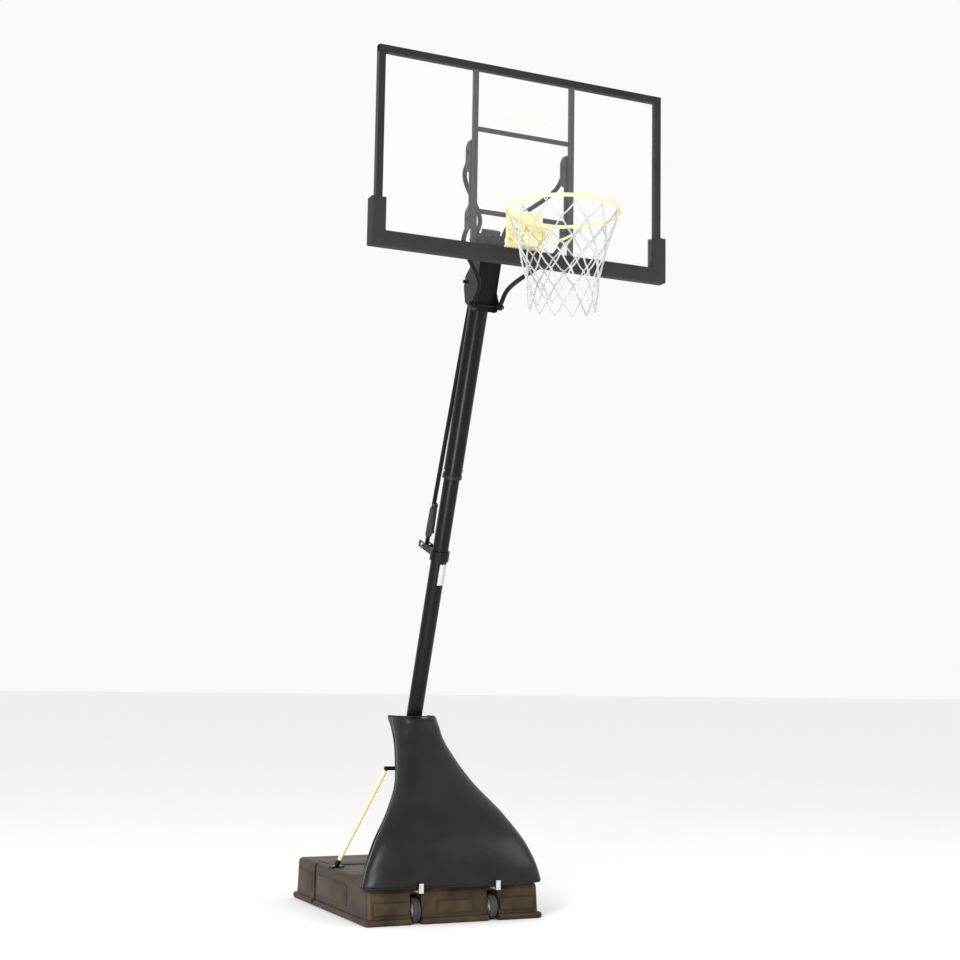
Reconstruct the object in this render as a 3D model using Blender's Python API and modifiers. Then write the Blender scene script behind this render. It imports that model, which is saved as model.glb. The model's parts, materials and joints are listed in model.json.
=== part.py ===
"""Portable basketball hoop: a filled tank on wheels, a leaning pole, a lifting backboard and a spring rim.

Metres, +Z up, +Y away from the court, +X to the right seen from the court. The origin is the centre
of the tank's footprint on the floor.
"""
import math

import bmesh
import bpy
from mathutils import Matrix, Vector

for item in list(bpy.data.objects):
    bpy.data.objects.remove(item, do_unlink=True)

# ---------------------------------------------------------------- driving dimensions
GAP = 0.0004                    # kept between pieces that touch

TANK_HALF_WIDTH = 0.438         # over the bottom flange
TANK_HALF_LENGTH = 0.5065
TANK_BODY_INSET = 0.013         # the walls stand inside the flange
TANK_FLANGE_HEIGHT = 0.030
TANK_HEIGHT = 0.200
TANK_FRONT_HEIGHT = 0.155

WHEEL_X = 0.19
WHEEL_Y = -0.455
WHEEL_Z = 0.060
WHEEL_RADIUS = 0.055

POLE_LEAN = math.radians(19.61)
POLE_FLOOR_Y = 0.3594           # where the pole's axis meets the floor plane
POLE_RADIUS = 0.038
POLE_TOP_RADIUS = 0.0445
POLE_WALL = 0.002
POLE_FOOT_S = 0.062             # distances s run along the pole's axis from the floor plane
POLE_JOINT_S = 0.860
POLE_STEP_S = 2.180
POLE_TOP_S = 3.330

BOARD_FRONT_Y = -1.101
BOARD_HALF_WIDTH = 0.700
BOARD_BOTTOM_Z = 2.926
BOARD_TOP_Z = 3.786
FRAME_WIDTH = 0.030
FRAME_WALL = 0.0016
UPRIGHT_X = 0.238
TARGET_TOP_Z = 3.487
TARGET_BOTTOM_Z = 3.118

RIM_Z = 3.050
RIM_INNER_RADIUS = 0.2286
RIM_ROD_RADIUS = 0.008
RIM_CENTRE_Y = -1.4665
NET_LENGTH = 0.420
NET_BOTTOM_RADIUS = 0.145

UPPER_PIVOT = (-0.720, 3.100)   # y, z of the arms' pivots on the pole head
PIVOT_SPACING = 0.300
ARM_RUN = (-0.325, 0.290)       # y, z from a pole pivot to its board pivot
ARM_POLE_X = 0.068
ARM_BOARD_X = 0.235
ARM_RADIUS = 0.0105
EYE_RADIUS = 0.016
EYE_WIDTH = 0.022
BOLT_RADIUS = 0.005
BOLT_BORE = 0.0056
TAIL_BORE = 0.0052
PIN_BORE = 0.0034
TAIL_LENGTH = 0.100
LIFT_RANGE = math.radians(88.0)
COLLAR_S = 1.780
ROD_BOTTOM_U = 0.172            # distances u run square to the pole, away from the court
ROD_RADIUS = 0.011

COVER_THICKNESS = 0.018

# ---------------------------------------------------------------- directions and frames
POLE_UP = Vector((0, -math.sin(POLE_LEAN), math.cos(POLE_LEAN)))
POLE_BACK = Vector((0, math.cos(POLE_LEAN), math.sin(POLE_LEAN)))
X_AXIS = Vector((1, 0, 0))


def on_pole(s, u=0.0, x=0.0):
    """The point s along the pole's axis and u behind it."""
    return Vector((x, POLE_FLOOR_Y, 0)) + POLE_UP * s + POLE_BACK * u


def pole_coordinates(y, z):
    offset = Vector((0, y - POLE_FLOOR_Y, z))
    return offset.dot(POLE_UP), offset.dot(POLE_BACK)


UPPER_BOARD = (UPPER_PIVOT[0] + ARM_RUN[0], UPPER_PIVOT[1] + ARM_RUN[1])
LOWER_PIVOT = (UPPER_PIVOT[0], UPPER_PIVOT[1] - PIVOT_SPACING)
LOWER_BOARD = (UPPER_BOARD[0], UPPER_BOARD[1] - PIVOT_SPACING)
UPPER_S, UPPER_U = pole_coordinates(*UPPER_PIVOT)
LOWER_S, LOWER_U = pole_coordinates(*LOWER_PIVOT)
TAIL_S = UPPER_S - TAIL_LENGTH * math.sin(LIFT_RANGE / 2)
TAIL_U = UPPER_U + TAIL_LENGTH * math.cos(LIFT_RANGE / 2)
COLLAR_TRAVEL = 2 * TAIL_LENGTH * math.sin(LIFT_RANGE / 2)

# ---------------------------------------------------------------- collections and materials
parts = bpy.data.collections.new("portable_basketball_hoop")
cutters = bpy.data.collections.new("cutters")
bpy.context.scene.collection.children.link(parts)
bpy.context.scene.collection.children.link(cutters)


def material(name, colour, roughness, metallic=0.0, alpha=1.0):
    made = bpy.data.materials.new(name)
    made.use_nodes = True
    shader = made.node_tree.nodes["Principled BSDF"]
    shader.inputs["Base Color"].default_value = (*colour, 1.0)
    shader.inputs["Roughness"].default_value = roughness
    shader.inputs["Metallic"].default_value = metallic
    shader.inputs["Alpha"].default_value = alpha
    return made


TANK_PLASTIC = material("tank_plastic", (0.055, 0.043, 0.032), 0.55)
WATER = material("water", (0.25, 0.35, 0.40), 0.10)
BLACK_PLASTIC = material("black_plastic", (0.02, 0.02, 0.02), 0.45)
WHEEL_RUBBER = material("wheel_rubber", (0.03, 0.03, 0.03), 0.70)
HUB_PLASTIC = material("hub_plastic", (0.30, 0.30, 0.29), 0.50)
BLACK_STEEL = material("black_steel", (0.012, 0.012, 0.013), 0.35, 0.3)
ZINC_STEEL = material("zinc_steel", (0.55, 0.55, 0.53), 0.35, 1.0)
YELLOW_STEEL = material("yellow_steel", (0.80, 0.72, 0.30), 0.40, 0.1)
COVER_VINYL = material("cover_vinyl", (0.026, 0.026, 0.027), 0.35)
SCALE_PLASTIC = material("scale_plastic", (0.45, 0.45, 0.44), 0.50)
CLEAR_ACRYLIC = material("clear_acrylic", (0.95, 0.97, 0.97), 0.05, 0.0, 0.15)
FRAME_STEEL = material("frame_steel", (0.03, 0.03, 0.03), 0.45, 0.2)
PAD_FOAM = material("pad_foam", (0.04, 0.04, 0.04), 0.60)
RIM_STEEL = material("rim_steel", (0.83, 0.78, 0.40), 0.35, 0.1)
NET_CORD = material("net_cord", (0.80, 0.80, 0.80), 0.80)


# ---------------------------------------------------------------- modelling helpers
def place(name, mesh, finish, cutter=False):
    """Link a mesh, in world coordinates, as a named piece or a hidden cutter."""
    piece = bpy.data.objects.new(name, mesh)
    if finish is not None:
        mesh.materials.append(finish)
    if cutter:
        piece.hide_render = True
        piece.display_type = "WIRE"
        cutters.objects.link(piece)
    else:
        parts.objects.link(piece)
    return piece


def mesh_from(name, build):
    shape = bmesh.new()
    build(shape)
    bmesh.ops.recalc_face_normals(shape, faces=shape.faces)
    mesh = bpy.data.meshes.new(name)
    shape.to_mesh(mesh)
    shape.free()
    return mesh


def box(name, low, high, finish=None, turn=None, bevel=0.0, cutter=False):
    """A box between two corners; turn is a matrix applied to it last."""
    low, high = Vector(low), Vector(high)

    def build(shape):
        bmesh.ops.create_cube(shape, size=1.0)
        bmesh.ops.scale(shape, vec=high - low, verts=shape.verts)
        bmesh.ops.translate(shape, vec=(low + high) / 2, verts=shape.verts)
        if bevel:
            bmesh.ops.bevel(shape, geom=shape.edges, offset=bevel, segments=2, profile=0.5, affect="EDGES")
        if turn is not None:
            bmesh.ops.transform(shape, matrix=turn, verts=shape.verts)

    return place(name, mesh_from(name, build), finish, cutter)


def along(start, end):
    """A matrix that carries +Z to the line from start to end, with its origin at start."""
    direction = Vector(end) - Vector(start)
    return Matrix.Translation(start) @ direction.to_track_quat("Z", "Y").to_matrix().to_4x4()


def cylinder(name, start, end, radius, finish=None, sides=14, cutter=False):
    length = (Vector(end) - Vector(start)).length

    def build(shape):
        bmesh.ops.create_cone(shape, cap_ends=True, segments=sides, radius1=radius, radius2=radius,
                              depth=length)
        bmesh.ops.translate(shape, vec=(0, 0, length / 2), verts=shape.verts)
        bmesh.ops.transform(shape, matrix=along(start, end), verts=shape.verts)

    mesh = mesh_from(name, build)
    mesh.shade_smooth()
    mesh.set_sharp_from_angle(angle=math.radians(40))
    return place(name, mesh, finish, cutter)


def turned(name, start, end, profile, finish, closed=False, sides=24):
    """Turn a profile of (radius, height) points, top to bottom, about the line from start to end."""
    mesh = bpy.data.meshes.new(name)
    count = len(profile)
    edges = [(i, i + 1) for i in range(count - 1)]
    if closed:
        edges.append((count - 1, 0))
    mesh.from_pydata([(r, 0, h) for r, h in profile], edges, [])
    piece = place(name, mesh, finish)
    piece.matrix_world = along(start, end)
    screw = piece.modifiers.new("turn", "SCREW")
    screw.steps = sides
    screw.render_steps = sides
    screw.use_merge_vertices = True
    screw.merge_threshold = 0.00002
    screw.use_smooth_shade = True
    return piece


def pipe(name, start, end, outer, inner, finish, sides=24):
    """A straight pipe with open ends."""
    length = (Vector(end) - Vector(start)).length
    profile = [(outer, length), (outer, 0), (inner, 0), (inner, length)]
    return turned(name, start, end, profile, finish, closed=True, sides=sides)


def bolt(name, centre, half_length, finish, radius=BOLT_RADIUS, head=0.009, head_height=0.006):
    """A bolt along X with a head and a nut, both round."""
    centre = Vector(centre)
    full = 2 * half_length
    profile = [(0, full), (head, full), (head, full - head_height), (radius, full - head_height),
               (radius, head_height), (head, head_height), (head, 0), (0, 0)]
    return turned(name, centre - X_AXIS * half_length, centre + X_AXIS * half_length, profile, finish,
                  sides=10)


def bent_rod(name, points, radius, finish=None, cutter=False, resolution=1, cyclic=False):
    """A rod along points, made as a curve and turned into a closed mesh."""
    curve = bpy.data.curves.new(name, "CURVE")
    curve.dimensions = "3D"
    curve.bevel_depth = radius
    curve.bevel_resolution = resolution
    curve.use_fill_caps = not cyclic
    spline = curve.splines.new("POLY")
    spline.points.add(len(points) - 1)
    for point, place_at in zip(spline.points, points):
        point.co = (*place_at, 1.0)
    spline.use_cyclic_u = cyclic
    return mesh_of_curve(name, curve, finish, cutter)


def mesh_of_curve(name, curve, finish, cutter, turn=None):
    holder = bpy.data.objects.new(name + "_curve", curve)
    bpy.context.scene.collection.objects.link(holder)
    bpy.context.view_layer.update()
    evaluated = holder.evaluated_get(bpy.context.evaluated_depsgraph_get())
    mesh = bpy.data.meshes.new_from_object(evaluated)
    bpy.data.objects.remove(holder, do_unlink=True)
    mesh.name = name
    shape = bmesh.new()
    shape.from_mesh(mesh)
    bmesh.ops.remove_doubles(shape, verts=shape.verts, dist=0.00002)
    bmesh.ops.dissolve_limit(shape, angle_limit=math.radians(0.5), verts=shape.verts, edges=shape.edges)
    if turn is not None:
        bmesh.ops.transform(shape, matrix=turn, verts=shape.verts)
    bmesh.ops.recalc_face_normals(shape, faces=shape.faces)
    shape.to_mesh(mesh)
    shape.free()
    mesh.materials.clear()
    return place(name, mesh, finish, cutter)


def plate(name, outline, x_low, x_high, finish=None, cutter=False):
    """A flat plate square to X: outline is (y, z) points, x_low and x_high its two faces."""
    curve = bpy.data.curves.new(name, "CURVE")
    curve.dimensions = "2D"
    curve.fill_mode = "BOTH"
    curve.extrude = (x_high - x_low) / 2
    spline = curve.splines.new("POLY")
    spline.points.add(len(outline) - 1)
    for point, (y, z) in zip(spline.points, outline):
        point.co = (y, z, 0, 1)
    spline.use_cyclic_u = True
    stand = Matrix(((0, 0, 1, (x_low + x_high) / 2), (1, 0, 0, 0), (0, 1, 0, 0), (0, 0, 0, 1)))
    return mesh_of_curve(name, curve, finish, cutter, stand)


def boolean(piece, other, operation):
    step = piece.modifiers.new(operation.lower(), "BOOLEAN")
    step.operation = operation
    step.solver = "EXACT"
    step.object = other


def cut(piece, *others):
    for other in others:
        boolean(piece, other, "DIFFERENCE")


def weld(piece, *others):
    for other in others:
        boolean(piece, other, "UNION")


def x_bore(name, y, z, radius, x_low, x_high, sides=14):
    return cylinder(name, (x_low, y, z), (x_high, y, z), radius, sides=sides, cutter=True)


def sided(name, side):
    return name + ("_left" if side < 0 else "_right")


def spanned(x_a, x_b):
    return min(x_a, x_b), max(x_a, x_b)


def curved_shell(name, rows, thickness, finish):
    """A shell from rows of points seen from outside, left to right and top to bottom; it thickens inward."""
    shape = bmesh.new()
    verts = [[shape.verts.new(point) for point in row] for row in rows]
    for upper, lower in zip(verts, verts[1:]):
        for i in range(len(upper) - 1):
            shape.faces.new((upper[i], lower[i], lower[i + 1], upper[i + 1]))
    mesh = bpy.data.meshes.new(name)
    shape.to_mesh(mesh)
    shape.free()
    mesh.shade_smooth()
    piece = place(name, mesh, finish)
    solid = piece.modifiers.new("thickness", "SOLIDIFY")
    solid.thickness = thickness
    solid.offset = -1.0
    return piece


# ---------------------------------------------------------------- base tank and what is in it
POCKET_LOW, POCKET_HIGH = Vector((-0.070, 0.220, 0.035)), Vector((0.070, 0.440, 0.260))
WELL_HALF_WIDTH = 0.0275
WELL_BACK_Y = -0.375
WELL_TOP_Z = 0.135
AXLE_HALF_LENGTH = 0.044
FILL_HOLE = (0.22, 0.36)
WATER_LEVEL_DROP = 0.014
SIDE_WALL = 0.020
WALL = 0.006


def tank_block(name, side_inset, inset, top_drop=0.0, finish=None, cutter=False):
    """The tank's body shrunk by an inset, low at the court side."""
    back = TANK_HALF_LENGTH - TANK_BODY_INSET - inset
    top = TANK_HEIGHT - inset - top_drop
    half = TANK_HALF_WIDTH - TANK_BODY_INSET - side_inset
    outline = [(-back, inset), (-back + 0.020, TANK_FRONT_HEIGHT - inset - top_drop), (-0.25, top),
               (back - 0.020, top), (back, inset)]
    return plate(name, outline, -half, half, finish, cutter)


def hollows(name, grow):
    """Cutters for the wheel wells and the foot pocket, grown on every side by grow."""
    spread = Vector((grow, grow, grow))
    found = [box(name + "_pocket", POCKET_LOW - spread, POCKET_HIGH + spread, cutter=True)]
    side_grow = grow * 3.5
    for side in (-1, 1):
        x = side * WHEEL_X
        low = (x - WELL_HALF_WIDTH - side_grow, -0.60, -0.01)
        high = (x + WELL_HALF_WIDTH + side_grow, WELL_BACK_Y + grow, WELL_TOP_Z + grow)
        found.append(box(sided(name + "_well", side), low, high, cutter=True))
    return found


def make_tank():
    cavity = tank_block("cavity", SIDE_WALL, WALL, cutter=True)
    cut(cavity, *hollows("cavity", WALL))
    tank = tank_block("base_tank", 0.0, 0.0, finish=TANK_PLASTIC)
    rounding = tank.modifiers.new("rounded_edges", "BEVEL")
    rounding.width = 0.018
    rounding.segments = 2
    rounding.limit_method = "ANGLE"
    flange = box("flange", (-TANK_HALF_WIDTH, -TANK_HALF_LENGTH, 0),
                 (TANK_HALF_WIDTH, TANK_HALF_LENGTH, TANK_FLANGE_HEIGHT), cutter=True)
    corners = flange.modifiers.new("corners", "BEVEL")
    corners.width = 0.012
    corners.segments = 2
    weld(tank, flange)
    cut(tank, cavity, *hollows("tank", 0.0))
    for side in (-1, 1):
        low, high = spanned(side * 0.410, side * 0.450)
        cut(tank, box(sided("groove", side), (low, 0.195, 0.012), (high, 0.225, 0.25), cutter=True))
        x = side * WHEEL_X
        reach = AXLE_HALF_LENGTH + GAP
        cut(tank, x_bore(sided("axle_bore", side), WHEEL_Y, WHEEL_Z, 0.0058, x - reach, x + reach))
    cut(tank, cylinder("fill_hole", (*FILL_HOLE, 0.15), (*FILL_HOLE, 0.22), 0.022, cutter=True))
    ballast = tank_block("ballast_fill", SIDE_WALL + 0.003, WALL + 0.003, WATER_LEVEL_DROP, WATER)
    cut(ballast, *hollows("ballast", WALL + 0.003))


def make_fill_cap():
    top = TANK_HEIGHT + GAP
    profile = [(0, 0.030), (0.028, 0.030), (0.031, 0.027), (0.031, 0.016), (0.0195, 0.016), (0.0195, 0),
               (0, 0)]
    turned("fill_cap", (*FILL_HOLE, top - 0.016), (*FILL_HOLE, top + 1), profile, BLACK_PLASTIC, sides=16)


def make_wheel(side):
    x = side * WHEEL_X
    left = (x - 0.017, WHEEL_Y, WHEEL_Z)
    right = (x + 0.017, WHEEL_Y, WHEEL_Z)
    edge, rim = WHEEL_RADIUS, 0.0404
    tread = [(edge - 0.005, 0.034), (edge, 0.028), (edge, 0.006), (edge - 0.005, 0), (rim, 0), (rim, 0.034)]
    turned(sided("wheel_tyre", side), left, right, tread, WHEEL_RUBBER, closed=True, sides=20)
    hub = [(0.015, 0.034), (0.015, 0.026), (0.040, 0.026), (0.040, 0.008), (0.015, 0.008), (0.015, 0),
           (0.0058, 0), (0.0058, 0.034)]
    turned(sided("wheel_hub", side), left, right, hub, HUB_PLASTIC, closed=True, sides=20)
    cylinder(sided("wheel_axle", side), (x - AXLE_HALF_LENGTH, WHEEL_Y, WHEEL_Z),
             (x + AXLE_HALF_LENGTH, WHEEL_Y, WHEEL_Z), BOLT_RADIUS, ZINC_STEEL)


# ---------------------------------------------------------------- pole, foot and struts
FOOT_BOLT_S = 0.100
STRUT_CLAMP_S = 0.690
STRUT_RADIUS = 0.0095
STRUT_FOOT = Vector((0.385, 0.030, TANK_HEIGHT + 0.006))
STRUT_HEAD = Vector((0.100, on_pole(STRUT_CLAMP_S).y, on_pole(STRUT_CLAMP_S).z))
JOINT_BOLT_S = 2.198


def make_foot():
    floor = POCKET_LOW.z + GAP
    bracket = box("pole_foot_bracket", (-0.060, 0.250, floor), (0.060, 0.420, floor + 0.004), BLACK_STEEL)
    for side in (-1, 1):
        low, high = spanned(side * 0.0405, side * 0.0445)
        weld(bracket, box(sided("foot_ear", side), (low, 0.295, floor + 0.002), (high, 0.365, 0.130),
                          cutter=True))
    centre = on_pole(FOOT_BOLT_S)
    cut(bracket, x_bore("foot_bracket_bore", centre.y, centre.z, 0.0068, -0.06, 0.06))
    bolt("foot_bolt", centre, 0.054, ZINC_STEEL, radius=0.006, head=0.010)


def make_pole():
    lower = pipe("pole_lower", on_pole(POLE_FOOT_S), on_pole(POLE_JOINT_S), POLE_RADIUS,
                 POLE_RADIUS - POLE_WALL, BLACK_STEEL)
    centre = on_pole(FOOT_BOLT_S)
    cut(lower, x_bore("foot_bore", centre.y, centre.z, 0.0068, -0.06, 0.06))

    neck = 0.080
    swage = POLE_RADIUS - POLE_WALL - 0.0008
    top = POLE_STEP_S + 0.120 - POLE_JOINT_S + neck
    profile = [(POLE_RADIUS, top), (POLE_RADIUS, neck + GAP), (swage, neck + GAP), (swage, 0),
               (swage - POLE_WALL, 0), (swage - POLE_WALL, neck), (POLE_RADIUS - POLE_WALL, neck + 0.004),
               (POLE_RADIUS - POLE_WALL, top)]
    middle = turned("pole_middle", on_pole(POLE_JOINT_S - neck), on_pole(POLE_TOP_S), profile, BLACK_STEEL,
                    closed=True)
    for i in range(5):
        s = COLLAR_S + COLLAR_TRAVEL * i / 4
        hole = cylinder("lock_hole_%d" % i, on_pole(s, 0.020), on_pole(s, 0.060), 0.0065, sides=12,
                        cutter=True)
        cut(middle, hole)

    upper = pipe("pole_upper", on_pole(POLE_STEP_S), on_pole(POLE_TOP_S), POLE_TOP_RADIUS,
                 POLE_TOP_RADIUS - POLE_WALL, BLACK_STEEL)
    cut(upper, x_bore("head_bore", *UPPER_PIVOT, BOLT_BORE, -0.06, 0.06))

    lip = 0.0196
    ring = [(0.0418, 0.055), (0.0418, lip), (0.0468, lip), (0.0468, 0), (0.0388, 0), (0.0388, 0.055)]
    reducer = turned("pole_reducer", on_pole(POLE_STEP_S - 0.020), on_pole(POLE_TOP_S), ring, BLACK_PLASTIC,
                     closed=True)
    centre = on_pole(JOINT_BOLT_S)
    joint_bore = x_bore("joint_bore", centre.y, centre.z, BOLT_BORE, -0.06, 0.06)
    for piece in (middle, upper, reducer):
        cut(piece, joint_bore)
    bolt("pole_joint_bolt", centre, 0.0515, ZINC_STEEL)

    cap = [(0, 0.010), (0.041, 0.010), (0.0452, 0.006), (0.0452, 0), (0.0416, 0), (0.0416, -0.020),
           (0, -0.020)]
    turned("pole_cap", on_pole(POLE_TOP_S + GAP), on_pole(POLE_TOP_S + 1), cap, BLACK_PLASTIC)


def make_struts():
    clamp = pipe("strut_clamp", on_pole(STRUT_CLAMP_S - 0.022), on_pole(STRUT_CLAMP_S + 0.022), 0.0445,
                 0.0388, BLACK_STEEL)
    for side in (-1, 1):
        head = Vector((side * STRUT_HEAD.x, STRUT_HEAD.y, STRUT_HEAD.z))
        foot = Vector((side * STRUT_FOOT.x, STRUT_FOOT.y, STRUT_FOOT.z))
        up = (head - foot).normalized()
        arm = cylinder(sided("clamp_arm", side), (side * 0.041, head.y, head.z),
                       (side * 0.112, head.y, head.z), 0.010, cutter=True)
        spigot = cylinder(sided("clamp_spigot", side), head, head - up * 0.050, 0.0070, cutter=True)
        weld(clamp, arm, spigot)
        pipe(sided("strut", side), foot + up * 0.0260, head - up * 0.0170, STRUT_RADIUS,
             STRUT_RADIUS - 0.0015, YELLOW_STEEL, sides=20)
        base = box(sided("strut_foot", side), (foot.x - 0.030, foot.y - 0.030, TANK_HEIGHT + GAP),
                   (foot.x + 0.030, foot.y + 0.030, TANK_HEIGHT + 0.006), BLACK_STEEL)
        socket = cylinder(sided("foot_socket", side), foot + up * 0.004, foot + up * 0.0250, 0.012,
                          cutter=True)
        stub = cylinder(sided("foot_spigot", side), foot, foot + up * 0.060, 0.0070, cutter=True)
        weld(base, socket, stub)


def make_height_scale():
    radius = POLE_RADIUS + GAP + 0.0016
    rows = []
    for s in (1.745, 1.640):
        row = []
        for i in range(7):
            angle = math.radians(-10 + 110 * i / 6)
            row.append(on_pole(s, -radius * math.cos(angle), radius * math.sin(angle)))
        rows.append(row)
    curved_shell("height_scale", rows, 0.0012, SCALE_PLASTIC)


# ---------------------------------------------------------------- front cover
# height, half width, y of the front, y of the side edges
COVER_SECTIONS = [
    (0.905, 0.112, -0.058, 0.110),
    (0.800, 0.128, -0.105, -0.005),
    (0.700, 0.158, -0.195, -0.105),
    (0.590, 0.212, -0.305, -0.235),
    (0.470, 0.300, -0.415, -0.350),
    (0.360, 0.375, -0.490, -0.400),
    (0.250, 0.425, -0.525, -0.430),
    (0.165, 0.450, -0.532, -0.445),
]
COVER_COLUMNS = 16
COVER_SQUARENESS = 3.2


def make_cover():
    rows = []
    for height, half, front, edge in COVER_SECTIONS:
        row = []
        for i in range(COVER_COLUMNS + 1):
            angle = math.pi * (i / COVER_COLUMNS - 0.5)
            side, ahead = math.sin(angle), math.cos(angle)
            x = half * math.copysign(abs(side) ** (2 / COVER_SQUARENESS), side)
            y = edge - (edge - front) * max(ahead, 0.0) ** (2 / COVER_SQUARENESS)
            row.append((x, y, height))
        rows.append(row)
    curved_shell("front_cover", rows, COVER_THICKNESS, COVER_VINYL)
    hem_y = COVER_SECTIONS[-1][2]
    for side in (-1, 1):
        x = side * WHEEL_X
        clip = box(sided("cover_clip", side), (x - 0.011, hem_y - 0.012, 0.143),
                   (x + 0.011, hem_y - 0.003, 0.185), ZINC_STEEL)
        tongue = box(sided("clip_tongue", side), (x - 0.011, hem_y - 0.0115, 0.143),
                     (x + 0.011, -0.4772, 0.147), cutter=True)
        weld(clip, tongue)


# ---------------------------------------------------------------- pole head and lifting arms
PLATE_INNER = 0.0490
PLATE_OUTER = 0.0535
CLAMP_BOLT = (3.084, 0.075)     # s and u


def head_outline(*pairs):
    points = [on_pole(s, u) for u, s in pairs]
    return [(point.y, point.z) for point in points]


def make_head():
    outline = head_outline((-0.050, 3.300), (-0.030, 3.318), (0.045, 3.318), (0.056, 3.290), (0.056, 3.150),
                           (0.088, 3.110), (0.088, 3.058), (0.048, 2.990), (-0.058, 2.966), (-0.092, 2.976),
                           (-0.094, 3.020), (-0.056, 3.060))
    head = plate("head_bracket", outline, -PLATE_OUTER, PLATE_OUTER, BLACK_STEEL)
    tilt = Matrix.Translation(on_pole(0)) @ Matrix((X_AXIS, POLE_BACK, POLE_UP)).transposed().to_4x4()
    behind = box("head_inside", (-PLATE_INNER, -0.0475, 2.8), (PLATE_INNER, 0.2, 3.5), turn=tilt, cutter=True)
    ahead = box("head_front", (-PLATE_INNER, -0.2, 2.8), (PLATE_INNER, -0.0515, 3.5), turn=tilt, cutter=True)
    clamp_at = on_pole(*CLAMP_BOLT)
    cut(head, behind, ahead)
    for label, (y, z) in (("upper", UPPER_PIVOT), ("lower", LOWER_PIVOT), ("clamp", clamp_at.yz)):
        cut(head, x_bore("head_%s_bore" % label, y, z, BOLT_BORE, -0.06, 0.06))
    bolt("upper_pivot_bolt", (0, *UPPER_PIVOT), 0.088, BLACK_STEEL)
    bolt("lower_pivot_bolt", (0, *LOWER_PIVOT), 0.088, BLACK_STEEL)
    bolt("head_clamp_bolt", clamp_at, 0.066, BLACK_STEEL)


def arm_points(side, start, end, short=0.0):
    """The arm runs straight out of each eye and swings out sideways between them."""
    count = 9
    points = []
    for i in range(count + 1):
        t = short + (1 - 2 * short) * i / count
        swing = min(max((t - 0.16) / 0.66, 0.0), 1.0)
        x = ARM_POLE_X + (ARM_BOARD_X - ARM_POLE_X) * swing * swing * (3 - 2 * swing)
        points.append((side * x, start[0] + (end[0] - start[0]) * t, start[1] + (end[1] - start[1]) * t))
    return points


def make_arm(name, side, start, end):
    arm = bent_rod(sided(name, side), arm_points(side, start, end), ARM_RADIUS, BLACK_STEEL)
    ends = ((ARM_POLE_X, start), (ARM_BOARD_X, end))
    for i, (x, (y, z)) in enumerate(ends):
        weld(arm, x_bore("%s_eye_%d" % (arm.name, i), y, z, EYE_RADIUS, side * x - EYE_WIDTH / 2,
                         side * x + EYE_WIDTH / 2))
    if name == "upper_arm":
        weld(arm, tail_lever(arm.name, side))
    inside = arm_points(side, start, end, short=0.06)
    cut(arm, bent_rod(arm.name + "_inside", inside, ARM_RADIUS - 0.002, cutter=True))
    y, z = (start[0] + end[0]) / 2, (start[1] + end[1]) / 2
    x = side * (ARM_POLE_X + ARM_BOARD_X) / 2
    cut(arm, cylinder(arm.name + "_drain", (x, y, z), (x, y, z - 0.03), 0.003, sides=8, cutter=True))
    for i, (x, (y, z)) in enumerate(ends):
        cut(arm, x_bore("%s_bore_%d" % (arm.name, i), y, z, BOLT_BORE, side * x - 0.02, side * x + 0.02))
    if name == "upper_arm":
        tail = on_pole(TAIL_S, TAIL_U)
        low, high = spanned(side * 0.05, side * 0.09)
        cut(arm, x_bore(arm.name + "_tail_bore", tail.y, tail.z, TAIL_BORE, low, high))


def tail_lever(name, side):
    """The flat lever behind the pole head that the lift rod pushes."""
    pivot = Vector(UPPER_PIVOT)
    tail = on_pole(TAIL_S, TAIL_U).yz
    run = (tail - pivot).normalized()
    across = Vector((-run.y, run.x))
    radius = 0.013
    outline = []
    for centre, turn in ((tail, 0.0), (pivot, math.pi)):
        for i in range(7):
            angle = turn + math.pi * (i / 6 - 0.5)
            point = centre + (run * math.cos(angle) + across * math.sin(angle)) * radius
            outline.append((point.x, point.y))
    low, high = spanned(side * 0.063, side * 0.069)
    return plate(name + "_lever", outline, low, high, cutter=True)


# ---------------------------------------------------------------- lift rod, handle, trigger and lock
def rod_u(s):
    """How far behind the pole the lift rod's axis is at s."""
    return TAIL_U + (TAIL_S - s) * (ROD_BOTTOM_U - TAIL_U) / (TAIL_S - COLLAR_S)


def on_rod(s, x=0.0, ahead=0.0):
    return on_pole(s, rod_u(s) - ahead, x)


TRIGGER_S = 1.992
TRIGGER_AHEAD = 0.024


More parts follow.
